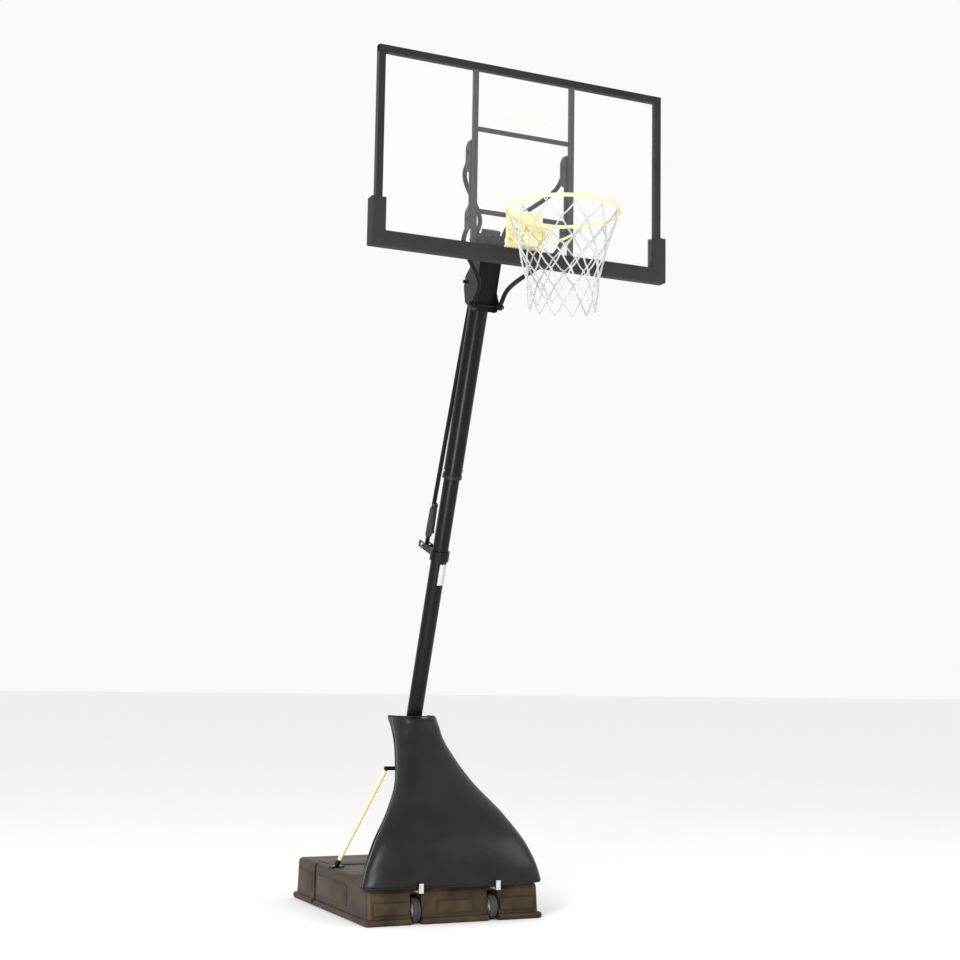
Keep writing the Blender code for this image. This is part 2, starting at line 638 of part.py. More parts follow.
def make_lift_rod():
    tail = on_rod(TAIL_S)
    bottom = on_rod(COLLAR_S)
    rod = cylinder("lift_rod", tail, on_rod(COLLAR_S - 0.012), ROD_RADIUS, BLACK_STEEL)
    weld(rod, x_bore("rod_eye", tail.y, tail.z, EYE_RADIUS, -0.012, 0.012))
    cut(rod, cylinder("rod_inside", on_rod(TAIL_S - 0.040), on_rod(COLLAR_S - 0.050), ROD_RADIUS - 0.002,
                      cutter=True))
    weld(rod, x_bore("rod_cross_pin", bottom.y, bottom.z, BOLT_RADIUS, -0.026, 0.026))
    hinge = on_rod(TRIGGER_S, ahead=TRIGGER_AHEAD)
    start = on_rod(TRIGGER_S)
    for side in (-1, 1):
        low, high = spanned(side * 0.0072, side * 0.0098)
        reach = [(start.y, start.z - 0.012), (start.y, start.z + 0.012), (hinge.y, hinge.z + 0.008),
                 (hinge.y - 0.008, hinge.z), (hinge.y, hinge.z - 0.008)]
        weld(rod, plate(sided("trigger_ear", side), reach, low, high, cutter=True))
    cut(rod, x_bore("rod_eye_bore", tail.y, tail.z, TAIL_BORE, -0.02, 0.02))
    cut(rod, x_bore("trigger_ear_bore", hinge.y, hinge.z, PIN_BORE, -0.02, 0.02, sides=12))
    cylinder("tail_pin", (-0.078, tail.y, tail.z), (0.078, tail.y, tail.z), 0.0045, ZINC_STEEL, sides=16)
    pipe("handle_grip", on_rod(1.830), on_rod(1.972), 0.0165, ROD_RADIUS + 0.0006, WHEEL_RUBBER, sides=20)

    cylinder("trigger_pin", (-0.0115, hinge.y, hinge.z), (0.0115, hinge.y, hinge.z), 0.0030, ZINC_STEEL,
             sides=12)
    levers = [(0.006, TRIGGER_S + 0.007), (-0.008, TRIGGER_S + 0.004), (-0.012, TRIGGER_S - 0.030),
              (-0.020, TRIGGER_S - 0.120), (-0.028, TRIGGER_S - 0.132), (-0.016, TRIGGER_S - 0.140),
              (-0.010, TRIGGER_S - 0.122), (0.000, TRIGGER_S - 0.030), (0.008, TRIGGER_S - 0.004)]
    outline = []
    for back, s in levers:
        point = on_rod(s, ahead=TRIGGER_AHEAD - back)
        outline.append((point.y, point.z))
    trigger = plate("trigger", outline, -0.0065, 0.0065, BLACK_PLASTIC)
    cut(trigger, x_bore("trigger_bore", hinge.y, hinge.z, PIN_BORE, -0.02, 0.02, sides=12))


def make_collar():
    """Slides on the pole; its fork carries the rod's cross pin in a slot."""
    collar = pipe("lock_collar", on_pole(COLLAR_S - 0.024), on_pole(COLLAR_S + 0.024), 0.0465,
                  POLE_RADIUS + 0.0008, BLACK_STEEL)
    tilt = Matrix.Translation(on_pole(0)) @ Matrix((X_AXIS, POLE_BACK, POLE_UP)).transposed().to_4x4()
    for side in (-1, 1):
        low, high = spanned(side * 0.0165, side * 0.0210)
        weld(collar, box(sided("fork", side), (low, 0.0420, COLLAR_S - 0.016),
                         (high, 0.222, COLLAR_S + 0.016), turn=tilt, cutter=True))
    weld(collar, cylinder("lock_housing", on_pole(COLLAR_S, 0.043), on_pole(COLLAR_S, 0.082), 0.0105,
                          sides=16, cutter=True))
    cut(collar, box("fork_slot", (-0.03, ROD_BOTTOM_U - 0.0065, COLLAR_S - 0.0090),
                    (0.03, ROD_BOTTOM_U + 0.0350, COLLAR_S + 0.0090), turn=tilt, cutter=True))
    cut(collar, cylinder("lock_bore", on_pole(COLLAR_S, 0.030), on_pole(COLLAR_S, 0.100), BOLT_BORE, sides=16,
                         cutter=True))
    profile = [(0, 0.0720), (0.0085, 0.0720), (0.0085, 0.0660), (0.0050, 0.0660), (0.0050, 0.0020),
               (0.0035, 0), (0, 0)]
    turned("lock_pin", on_pole(COLLAR_S, POLE_RADIUS + 0.0006), on_pole(COLLAR_S, 1), profile, ZINC_STEEL,
           sides=16)


# ---------------------------------------------------------------- backboard
FRAME_BACK_Y = BOARD_FRONT_Y + FRAME_WIDTH
PANEL_FRONT_Y = BOARD_FRONT_Y + FRAME_WALL + GAP
PANEL_THICKNESS = 0.004
UPRIGHT_FRONT_Y = PANEL_FRONT_Y + PANEL_THICKNESS + GAP
UPRIGHT_DEPTH = 0.020
UPRIGHT_WIDTH = 0.022
RAIL_FRONT_Y = UPRIGHT_FRONT_Y + UPRIGHT_DEPTH + GAP
RAIL_BACK_Y = -1.020
RAIL_HALF_WIDTH = 0.0175
RAIL_WALL = 0.004
PAD_BAND = 0.065
PAD_LEG = 0.210
PAD_OUT = 0.022
PAD_FRONT = 0.013


def frame_bar(name, vertical, inner_side, low, high):
    """A C channel of the frame: its web is outside and it opens towards the panel."""
    front, back = BOARD_FRONT_Y, FRAME_BACK_Y
    bar = box(name, low, high, FRAME_STEEL)
    axis = 0 if vertical else 2
    inside_low, inside_high = Vector(low), Vector(high)
    inside_low[1], inside_high[1] = front + FRAME_WALL, back - FRAME_WALL
    if inner_side > 0:
        inside_low[axis] += FRAME_WALL
        inside_high[axis] += 0.01
    else:
        inside_low[axis] -= 0.01
        inside_high[axis] -= FRAME_WALL
    other = 2 if vertical else 0
    inside_low[other] -= 0.01
    inside_high[other] += 0.01
    cut(bar, box(name + "_inside", inside_low, inside_high, cutter=True))


def make_frame():
    front, back, wide = BOARD_FRONT_Y, FRAME_BACK_Y, BOARD_HALF_WIDTH
    bottom, top = BOARD_BOTTOM_Z, BOARD_TOP_Z
    frame_bar("frame_bottom", False, 1, (-wide, front, bottom), (wide, back, bottom + FRAME_WIDTH))
    frame_bar("frame_top", False, -1, (-wide, front, top - FRAME_WIDTH), (wide, back, top))
    low_z, high_z = bottom + FRAME_WIDTH + GAP, top - FRAME_WIDTH - GAP
    frame_bar("frame_left", True, 1, (-wide, front, low_z), (-wide + FRAME_WIDTH, back, high_z))
    frame_bar("frame_right", True, -1, (wide - FRAME_WIDTH, front, low_z), (wide, back, high_z))
    edge = FRAME_WALL + 0.001
    box("backboard_panel", (-wide + edge, PANEL_FRONT_Y, bottom + edge),
        (wide - edge, PANEL_FRONT_Y + PANEL_THICKNESS, top - edge), CLEAR_ACRYLIC)


def make_target_frame():
    """Two channel uprights and two flat bars behind the panel, welded together."""
    half = UPRIGHT_WIDTH / 2
    edge = FRAME_WALL + 0.001
    low_z, high_z = BOARD_BOTTOM_Z + edge, BOARD_TOP_Z - edge
    back = UPRIGHT_FRONT_Y + UPRIGHT_DEPTH
    frame = box("target_frame", (-UPRIGHT_X - half, UPRIGHT_FRONT_Y, low_z),
                (-UPRIGHT_X + half, back, high_z), FRAME_STEEL)
    weld(frame, box("target_upright", (UPRIGHT_X - half, UPRIGHT_FRONT_Y, low_z),
                    (UPRIGHT_X + half, back, high_z), cutter=True))
    for label, z in (("top", TARGET_TOP_Z), ("bottom", TARGET_BOTTOM_Z)):
        weld(frame, box("target_bar_" + label, (-UPRIGHT_X, UPRIGHT_FRONT_Y, z - half),
                        (UPRIGHT_X, UPRIGHT_FRONT_Y + 0.003, z + half), cutter=True))
    for side in (-1, 1):
        x = side * UPRIGHT_X
        cut(frame, box(sided("upright_inside", side),
                       (x - half + FRAME_WALL, UPRIGHT_FRONT_Y + 0.0034, low_z - 0.01),
                       (x + half - FRAME_WALL, back + 0.01, high_z + 0.01), cutter=True))


def make_board_rail(side):
    """The channel behind each upright that the arms are bolted into."""
    x = side * ARM_BOARD_X
    low_z, high_z = LOWER_BOARD[1] - 0.050, UPPER_BOARD[1] + 0.050
    front, back, half = RAIL_FRONT_Y, RAIL_BACK_Y, RAIL_HALF_WIDTH
    outline = [(front, low_z), (front, high_z), (back - 0.020, high_z), (back, high_z - 0.020),
               (back, UPPER_BOARD[1] - 0.070), (front + 0.016, UPPER_BOARD[1] - 0.095),
               (front + 0.016, LOWER_BOARD[1] + 0.060), (back, LOWER_BOARD[1] + 0.035), (back, low_z + 0.020),
               (back - 0.020, low_z)]
    rail = plate(sided("board_rail", side), outline, x - half, x + half, BLACK_STEEL)
    cut(rail, box(rail.name + "_inside", (x - half + RAIL_WALL, front + 0.004, low_z - 0.01),
                  (x + half - RAIL_WALL, back + 0.01, high_z + 0.01), cutter=True))
    for label, (y, z) in (("upper", UPPER_BOARD), ("lower", LOWER_BOARD)):
        cut(rail, x_bore("%s_%s_bore" % (rail.name, label), y, z, BOLT_BORE, x - 0.03, x + 0.03))
        bolt(sided("board_bolt_" + label, side), (x, y, z), RAIL_HALF_WIDTH + 0.0065, BLACK_STEEL)


def make_pad():
    """Foam channel over the board's lower edge and corners."""
    wide, low, front = BOARD_HALF_WIDTH, BOARD_BOTTOM_Z, BOARD_FRONT_Y
    pad = box("board_pad", (-wide - PAD_OUT, front - PAD_FRONT, low - PAD_OUT),
              (wide + PAD_OUT, FRAME_BACK_Y + PAD_FRONT, low - PAD_OUT + PAD_LEG), PAD_FOAM)
    leg_inner = wide + PAD_OUT - PAD_BAND
    opening = box("pad_opening", (-leg_inner, front - 0.1, low - PAD_OUT + PAD_BAND),
                  (leg_inner, FRAME_BACK_Y + 0.1, low + 1), cutter=True)
    slot = box("pad_slot", (-wide - GAP, front - GAP, low - GAP),
               (wide + GAP, FRAME_BACK_Y + GAP, low + 1), cutter=True)
    cut(pad, opening, slot)


# ---------------------------------------------------------------- rim
RIM_HINGE = (-1.130, 3.036)     # y, z
SPRING_X = 0.034
SPRING_Z = 2.996
SPRING_RADIUS = 0.011
SPRING_WIRE = 0.0018
LIP_Y = -1.150


def make_backplate():
    front = BOARD_FRONT_Y - GAP
    plate_front = front - 0.004
    back = box("rim_backplate", (-0.090, plate_front, 2.973), (0.090, front, 3.146), RIM_STEEL, bevel=0.0012)
    for side in (-1, 1):
        low, high = spanned(side * 0.0785, side * 0.0825)
        weld(back, box(sided("rim_ear", side), (low, RIM_HINGE[0] - 0.016, 3.012),
                       (high, front - 0.002, 3.062), cutter=True))
    cut(back, x_bore("rim_ear_bore", *RIM_HINGE, BOLT_BORE, -0.1, 0.1))
    bolt("rim_hinge_pin", (0, *RIM_HINGE), 0.0895, ZINC_STEEL)


def make_ring():
    """Ring, neck plate, side cheeks, spring lip and braces: one welded piece."""
    radius = RIM_INNER_RADIUS + RIM_ROD_RADIUS
    circle = []
    for i in range(40):
        angle = 2 * math.pi * i / 40
        circle.append((radius * math.sin(angle), RIM_CENTRE_Y + radius * math.cos(angle), RIM_Z))
    ring = bent_rod("rim_ring", circle, RIM_ROD_RADIUS, RIM_STEEL, cyclic=True)
    rear = RIM_CENTRE_Y + radius
    neck = box("neck", (-0.0735, rear - 0.004, RIM_Z - 0.0045),
               (0.0735, RIM_HINGE[0] + 0.010, RIM_Z + 0.0005), cutter=True)
    pieces = [neck]
    for side in (-1, 1):
        low, high = spanned(side * 0.0672, side * 0.0712)
        cheek = [(rear + 0.002, RIM_Z - 0.0025), (rear + 0.002, RIM_Z - 0.018), (LIP_Y - 0.006, 2.976),
                 (LIP_Y + 0.004, 2.976), (RIM_HINGE[0] + 0.012, 3.022),
                 (RIM_HINGE[0] + 0.012, RIM_Z - 0.0025)]
        pieces.append(plate(sided("cheek", side), cheek, low, high, cutter=True))
        angle = math.radians(52)
        touch = Vector((side * radius * math.sin(angle), RIM_CENTRE_Y + radius * math.cos(angle),
                        RIM_Z - 0.004))
        start = Vector((side * 0.070, LIP_Y - 0.012, 2.990))
        bend = Vector((side * 0.150, (start.y + touch.y) / 2 + 0.030, 3.004))
        arc = []
        for i in range(9):
            t = i / 8
            arc.append(start * (1 - t) ** 2 + bend * 2 * t * (1 - t) + touch * t ** 2)
        pieces.append(bent_rod(sided("brace", side), arc, 0.0055, cutter=True))
    pieces.append(box("spring_lip", (-0.069, LIP_Y - 0.004, 2.978), (0.069, LIP_Y, RIM_Z - 0.003),
                      cutter=True))
    weld(ring, *pieces)
    cut(ring, x_bore("ring_bore", *RIM_HINGE, 0.0060, -0.1, 0.1, sides=12))
    cut(ring, cylinder("lip_window", (0, LIP_Y - 0.02, SPRING_Z + 0.012),
                       (0, LIP_Y + 0.02, SPRING_Z + 0.012), 0.014, cutter=True))


def make_rim_spring(side):
    back = BOARD_FRONT_Y - GAP - 0.004 - GAP - SPRING_WIRE
    front = LIP_Y + GAP + SPRING_WIRE
    turns, steps = 3, 8
    points = []
    for i in range(turns * steps + 1):
        angle = 2 * math.pi * i / steps
        y = back + (front - back) * i / (turns * steps)
        points.append((side * SPRING_X + SPRING_RADIUS * math.cos(angle), y,
                       SPRING_Z + SPRING_RADIUS * math.sin(angle)))
    spring = bent_rod(sided("rim_spring", side), points, SPRING_WIRE, ZINC_STEEL)
    spring.data.shade_smooth()


def make_net():
    """The net's outer shape: an open tapered sleeve hung under the ring."""
    top = RIM_Z - RIM_ROD_RADIUS - GAP
    net_top = RIM_INNER_RADIUS + 0.004
    thick = 0.003
    rows = 4
    outer = []
    for i in range(rows + 1):
        t = i / rows
        radius = net_top + (NET_BOTTOM_RADIUS - net_top) * (1 - (1 - t) ** 1.7)
        outer.append((radius, -NET_LENGTH * t))
    inner = [(radius - thick, height) for radius, height in reversed(outer)]
    turned("net", (0, RIM_CENTRE_Y, top), (0, RIM_CENTRE_Y, top + 1), outer + inner, NET_CORD, closed=True,
           sides=20)


# ---------------------------------------------------------------- moving bodies
def carry(name, pivot, *pieces):
    """Hang a moving body's pieces on an empty that stands on its joint's axis."""
    holder = bpy.data.objects.new(name, None)
    holder.location = pivot
    parts.objects.link(holder)
    for piece_name in pieces:
        piece = bpy.data.objects[piece_name]
        piece.parent = holder
        piece.matrix_parent_inverse = Matrix.Translation(-holder.location)


def carry_bodies():
    carry("upper_arms_axis", (0, *UPPER_PIVOT), "upper_arm_left", "upper_arm_right", "tail_pin")
    carry("lower_arms_axis", (0, *LOWER_PIVOT), "lower_arm_left", "lower_arm_right")
    carry("lift_rod_axis", on_rod(TAIL_S), "lift_rod", "handle_grip", "trigger_pin")
    carry("trigger_axis", on_rod(TRIGGER_S, ahead=TRIGGER_AHEAD), "trigger")
    carry("rim_axis", (0, *RIM_HINGE), "rim_ring", "net")
    board = ["frame_top", "frame_bottom", "frame_left", "frame_right", "backboard_panel", "target_frame",
             "board_pad", "rim_backplate", "rim_hinge_pin"]
    for side in (-1, 1):
        for name in ("board_rail", "board_bolt_upper", "board_bolt_lower", "rim_spring"):
            board.append(sided(name, side))
    carry("backboard_axis", (0, *UPPER_BOARD), *board)


# ---------------------------------------------------------------- the whole hoop
make_tank()
make_fill_cap()
make_foot()
make_pole()
make_struts()
make_height_scale()
make_cover()
make_head()
make_lift_rod()
make_collar()
make_frame()
make_target_frame()
make_pad()
make_backplate()
make_ring()
make_net()
for hand in (-1, 1):
    make_wheel(hand)
    make_arm("upper_arm", hand, UPPER_PIVOT, UPPER_BOARD)
    make_arm("lower_arm", hand, LOWER_PIVOT, LOWER_BOARD)
    make_board_rail(hand)
    make_rim_spring(hand)
carry_bodies()
bpy.context.view_layer.update()
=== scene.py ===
"""The looks of the portable basketball hoop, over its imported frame.

Metres, in the frame's axes: +Z up, -Y towards the court, +X to the right seen from the court.
"""
import json
import math

import bmesh
import bpy
from mathutils import Matrix, Vector


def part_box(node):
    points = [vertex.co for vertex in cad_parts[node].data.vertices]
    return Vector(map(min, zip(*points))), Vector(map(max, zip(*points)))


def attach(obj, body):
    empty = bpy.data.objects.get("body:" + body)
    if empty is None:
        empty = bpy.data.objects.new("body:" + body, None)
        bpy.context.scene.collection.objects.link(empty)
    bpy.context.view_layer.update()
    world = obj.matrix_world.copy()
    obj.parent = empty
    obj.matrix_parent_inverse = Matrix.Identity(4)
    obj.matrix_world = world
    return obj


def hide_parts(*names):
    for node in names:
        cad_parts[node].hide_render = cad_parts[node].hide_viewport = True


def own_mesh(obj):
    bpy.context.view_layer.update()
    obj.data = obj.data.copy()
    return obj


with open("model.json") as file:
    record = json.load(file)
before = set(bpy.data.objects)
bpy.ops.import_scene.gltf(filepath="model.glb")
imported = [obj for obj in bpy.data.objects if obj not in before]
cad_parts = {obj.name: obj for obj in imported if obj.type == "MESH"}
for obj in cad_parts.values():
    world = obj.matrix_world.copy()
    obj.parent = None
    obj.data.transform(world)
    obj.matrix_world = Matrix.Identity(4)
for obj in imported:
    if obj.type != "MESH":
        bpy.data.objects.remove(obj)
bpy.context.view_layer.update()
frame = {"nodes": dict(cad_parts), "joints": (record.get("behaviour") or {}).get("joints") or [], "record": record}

# ---------------------------------------------------------------- camera
CAMERA_PLACE = Vector((-3.0227, -7.1845, 1.1322))
CAMERA_YAW = math.radians(24.935)
CAMERA_PITCH = math.radians(6.86)
CAMERA_ROLL = math.radians(0.932)
LENS_MM = 59.39
SENSOR_MM = 36.0


def make_camera():
    lens = bpy.data.cameras.new("camera")
    lens.lens = LENS_MM
    lens.sensor_width = SENSOR_MM
    camera = bpy.data.objects.new("camera", lens)
    bpy.context.scene.collection.objects.link(camera)
    turn = (Matrix.Rotation(-CAMERA_YAW, 4, "Z") @ Matrix.Rotation(math.pi / 2 + CAMERA_PITCH, 4, "X")
            @ Matrix.Rotation(CAMERA_ROLL, 4, "Z"))
    camera.matrix_world = Matrix.Translation(CAMERA_PLACE) @ turn
    bpy.context.scene.camera = camera


# ---------------------------------------------------------------- materials
def ramp(nodes, low, high):
    made = nodes.new("ShaderNodeValToRGB")
    made.color_ramp.elements[0].position = 0.30
    made.color_ramp.elements[1].position = 0.70
    made.color_ramp.elements[0].color = (*low, 1.0)
    made.color_ramp.elements[1].color = (*high, 1.0)
    return made


def surface(name, colour, roughness, metallic=0.0, mottle=0.12, mottle_scale=5.0, grain_scale=300.0,
            bump=0.08, grain="noise", alpha=1.0, coat=0.0, specular=0.5):
    """A finish whose colour and gloss vary slowly, over a fine grain."""
    made = bpy.data.materials.new(name)
    made.use_nodes = True
    nodes, links = made.node_tree.nodes, made.node_tree.links
    shader = nodes["Principled BSDF"]
    shader.inputs["Metallic"].default_value = metallic
    shader.inputs["Alpha"].default_value = alpha
    shader.inputs["Coat Weight"].default_value = coat
    shader.inputs["Specular IOR Level"].default_value = specular
    shader.inputs["Coat Roughness"].default_value = 0.12
    place = nodes.new("ShaderNodeTexCoord")

    slow = nodes.new("ShaderNodeTexNoise")
    slow.inputs["Scale"].default_value = mottle_scale
    slow.inputs["Detail"].default_value = 6.0
    links.new(place.outputs["Object"], slow.inputs["Vector"])
    low = [c * (1 - mottle) for c in colour]
    high = [min(c * (1 + mottle), 1.0) for c in colour]
    tint = ramp(nodes, low, high)
    links.new(slow.outputs["Fac"], tint.inputs["Fac"])
    links.new(tint.outputs["Color"], shader.inputs["Base Color"])

    gloss = nodes.new("ShaderNodeMapRange")
    gloss.inputs["To Min"].default_value = max(roughness - 0.07, 0.02)
    gloss.inputs["To Max"].default_value = min(roughness + 0.07, 1.0)
    links.new(slow.outputs["Fac"], gloss.inputs["Value"])
    links.new(gloss.outputs["Result"], shader.inputs["Roughness"])

    if grain == "cells":
        fine = nodes.new("ShaderNodeTexVoronoi")
        fine.feature = "DISTANCE_TO_EDGE"
        height = fine.outputs["Distance"]
    else:
        fine = nodes.new("ShaderNodeTexNoise")
        height = fine.outputs["Fac"]
    fine.inputs["Scale"].default_value = grain_scale
    links.new(place.outputs["Object"], fine.inputs["Vector"])
    relief = nodes.new("ShaderNodeBump")
    relief.inputs["Strength"].default_value = bump
    relief.inputs["Distance"].default_value = 0.001
    links.new(height, relief.inputs["Height"])
    links.new(relief.outputs["Normal"], shader.inputs["Normal"])
    return made


FINISH = {
    "tank_plastic": surface("tank_plastic", (0.036, 0.023, 0.012), 0.46, mottle=0.55, mottle_scale=9.0,
                            grain_scale=420.0, bump=0.25, specular=0.18),
    "water": surface("water", (0.25, 0.35, 0.40), 0.10),
    "black_plastic": surface("black_plastic", (0.008, 0.008, 0.008), 0.45, grain_scale=500.0, bump=0.15,
                             specular=0.25),
    "wheel_rubber": surface("wheel_rubber", (0.022, 0.022, 0.022), 0.75, mottle=0.3, bump=0.3),
    "hub_plastic": surface("hub_plastic", (0.42, 0.42, 0.41), 0.50, bump=0.1),
    "black_steel": surface("black_steel", (0.0035, 0.0035, 0.004), 0.30, mottle=0.25, grain_scale=700.0,
                           bump=0.10, specular=0.16),
    "zinc_steel": surface("zinc_steel", (0.60, 0.60, 0.58), 0.32, metallic=1.0, mottle=0.18,
                          mottle_scale=60.0, bump=0.10),
    "yellow_steel": surface("yellow_steel", (0.80, 0.72, 0.40), 0.38, mottle=0.10, grain_scale=600.0,
                            coat=0.2),
    "cover_vinyl": surface("cover_vinyl", (0.0045, 0.0045, 0.005), 0.30, mottle=0.50, mottle_scale=7.0,
                           grain="cells", grain_scale=420.0, bump=0.30, specular=0.26),
    "scale_plastic": surface("scale_plastic", (0.48, 0.48, 0.46), 0.45, bump=0.04),
    "clear_acrylic": surface("clear_acrylic", (0.80, 0.84, 0.84), 0.06, mottle=0.02, bump=0.0, alpha=0.035),
    "frame_steel": surface("frame_steel", (0.010, 0.010, 0.010), 0.42, mottle=0.2, grain_scale=700.0,
                           bump=0.12, specular=0.30),
    "pad_foam": surface("pad_foam", (0.014, 0.014, 0.014), 0.62, mottle=0.25, grain="cells",
                        grain_scale=700.0, bump=0.30, specular=0.30),
    "rim_steel": surface("rim_steel", (0.74, 0.68, 0.36), 0.36, mottle=0.10, grain_scale=600.0, coat=0.2),
    "board_mark": surface("board_mark", (0.72, 0.73, 0.62), 0.40, mottle=0.05, bump=0.02, alpha=0.8),
    "net_cord": surface("net_cord", (0.46, 0.46, 0.46), 0.85, mottle=0.25, grain_scale=1500.0, bump=0.5),
}


def finish_cad_nodes():
    """Every CAD node takes its slot's finish, and a fine rounding of its edges."""
    for part in frame["record"]["subparts"]:
        node = frame["nodes"][part["node"]]
        for entry in node.material_slots:
            entry.material = FINISH[part["material_slot"]]
        rounding = node.modifiers.new("fine_edges", "BEVEL")
        rounding.width = 0.0006
        rounding.segments = 2
        rounding.limit_method = "ANGLE"
        rounding.angle_limit = math.radians(40)


# ---------------------------------------------------------------- the pole's own directions
POLE_LEAN = math.radians(19.61)
POLE_UP = Vector((0, -math.sin(POLE_LEAN), math.cos(POLE_LEAN)))
POLE_BACK = Vector((0, math.cos(POLE_LEAN), math.sin(POLE_LEAN)))
POLE_FLOOR = Vector((0, 0.3594, 0))
JOINT_PLACE = {joint["name"]: Vector(joint.get("pos_m") or (0, 0, 0)) for joint in frame["joints"]}


def on_pole(s, u=0.0, x=0.0):
    """The point s along the pole's axis from the floor and u behind it."""
    return POLE_FLOOR + POLE_UP * s + POLE_BACK * u + Vector((x, 0, 0))


# ---------------------------------------------------------------- mesh helpers
SHARP_ANGLE = math.radians(38)


def finished(shape, name="mesh"):
    bmesh.ops.remove_doubles(shape, verts=shape.verts, dist=0.000002)
    bmesh.ops.recalc_face_normals(shape, faces=shape.faces)
    mesh = bpy.data.meshes.new(name)
    shape.to_mesh(mesh)
    shape.free()
    return mesh


def lathe(start, end, profile, sides=64, closed=False):
    """Turn (radius, height) points about the line from start towards end."""
    start, end = Vector(start), Vector(end)
    turn = (end - start).to_track_quat("Z", "Y").to_matrix()
    shape = bmesh.new()
    rings = []
    for radius, height in profile:
        ring = []
        for i in range(sides):
            angle = 2 * math.pi * i / sides
            local = Vector((radius * math.cos(angle), radius * math.sin(angle), height))
            ring.append(shape.verts.new(start + turn @ local))
        rings.append(ring)
    pairs = list(zip(rings, rings[1:]))
    if closed:
        pairs.append((rings[-1], rings[0]))
    for upper, lower in pairs:
        for i in range(sides):
            j = (i + 1) % sides
            shape.faces.new((upper[i], upper[j], lower[j], lower[i]))
    return finished(shape)


def tube(points, radius, resolution=5, cyclic=False):
    """A round rod along points; it has 4 + 2 * resolution sides."""
    curve = bpy.data.curves.new("path", "CURVE")
    curve.dimensions = "3D"
    curve.bevel_depth = radius
    curve.bevel_resolution = resolution
    curve.use_fill_caps = not cyclic
    spline = curve.splines.new("POLY")
    spline.points.add(len(points) - 1)
    for point, place in zip(spline.points, points):
        point.co = (*place, 1.0)
    spline.use_cyclic_u = cyclic
    holder = bpy.data.objects.new("path", curve)
    bpy.context.scene.collection.objects.link(holder)
    bpy.context.view_layer.update()
    mesh = bpy.data.meshes.new_from_object(holder.evaluated_get(bpy.context.evaluated_depsgraph_get()))
    bpy.data.objects.remove(holder, do_unlink=True)
    return mesh


def block(low, high, bevel=0.002, segments=3, turn=None):
    """A box between two corners with rounded edges."""
    low, high = Vector(low), Vector(high)
    shape = bmesh.new()
    bmesh.ops.create_cube(shape, size=1.0)
    bmesh.ops.scale(shape, vec=high - low, verts=shape.verts)
    bmesh.ops.translate(shape, vec=(low + high) / 2, verts=shape.verts)
    bmesh.ops.bevel(shape, geom=shape.edges, offset=bevel, segments=segments, profile=0.5, affect="EDGES")
    if turn is not None:
        bmesh.ops.transform(shape, matrix=turn, verts=shape.verts)
    return finished(shape)


def prism(outline, low_x, high_x, bevel=0.0012):
    """A plate across X from a closed outline of (y, z) points, with rounded edges."""
    shape = bmesh.new()
    near, far = [[shape.verts.new((x, y, z)) for y, z in outline] for x in (low_x, high_x)]
    shape.faces.new(near)
    shape.faces.new(list(reversed(far)))
    for i in range(len(outline)):
        j = (i + 1) % len(outline)
        shape.faces.new((near[i], far[i], far[j], near[j]))
    bmesh.ops.bevel(shape, geom=shape.edges, offset=bevel, segments=2, profile=0.5, affect="EDGES")
    return finished(shape)


def joined(*meshes):
    shape = bmesh.new()
    for mesh in meshes:
        shape.from_mesh(mesh)
    return finished(shape)


def piece(name, mesh, body, slot_name, *nodes):
    """A smooth-shaded piece with its slot's finish, riding on a body and standing for CAD nodes."""
    mesh.materials.clear()
    mesh.materials.append(FINISH[slot_name])
    for face in mesh.polygons:
        face.material_index = 0
    mesh.shade_smooth()
    mesh.set_sharp_from_angle(angle=SHARP_ANGLE)
    made = bpy.data.objects.new(name, mesh)
    bpy.context.scene.collection.objects.link(made)
    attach(made, body)
    if nodes:
        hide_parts(*nodes)
    return made


def sided(name, side):
    return name + ("_left" if side < 0 else "_right")


# ---------------------------------------------------------------- bolts
def hex_bolt(name, node, body, slot_name, shank=0.005, flats=0.0150):
    """Hexagon head, washers, shank and nut along X, as long as the CAD bolt."""
    low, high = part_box(node)
    middle = (low + high) / 2
    left, right = Vector((low.x, middle.y, middle.z)), Vector((high.x, middle.y, middle.z))
    length, corner = high.x - low.x, flats / 2 / math.cos(math.pi / 6)
    head = [(0, 0), (corner - 0.001, 0), (corner, 0.001), (corner, 0.0048), (0, 0.0048)]
    washer = [(shank, 0.0048), (corner + 0.0002, 0.0048), (corner + 0.0002, 0.0060), (shank, 0.0060)]
    rod = [(0, 0.002), (shank, 0.002), (shank, length - 0.002), (0, length - 0.002)]
    meshes = [lathe(left, right, rod, 24)]
    for start, end in ((left, right), (right, left)):
        meshes.append(lathe(start, end, head, 6))
        meshes.append(lathe(start, end, washer, 32, closed=True))
    piece(name, joined(*meshes), body, slot_name, node)


def make_bolts():
    hex_bolt("pivot_bolt_upper", "upper_pivot_bolt", "base", "black_steel")
    hex_bolt("pivot_bolt_lower", "lower_pivot_bolt", "base", "black_steel")
    hex_bolt("clamp_bolt", "head_clamp_bolt", "base", "black_steel")
    hex_bolt("joint_bolt", "pole_joint_bolt", "base", "zinc_steel")
    hex_bolt("foot_hex_bolt", "foot_bolt", "base", "zinc_steel", shank=0.006, flats=0.0165)
    hex_bolt("hinge_bolt", "rim_hinge_pin", "backboard", "zinc_steel")
    for side in (-1, 1):
        for level in ("upper", "lower"):
            node = sided("board_bolt_" + level, side)
            hex_bolt("hex_" + node, node, "backboard", "black_steel")


# ---------------------------------------------------------------- pole
POLE_RADIUS = 0.038
POLE_INNER = 0.036
LOCK_HOLE_FIRST = 1.780
LOCK_HOLE_SPAN = 0.13893
LOCK_HOLE_GAPS = 4


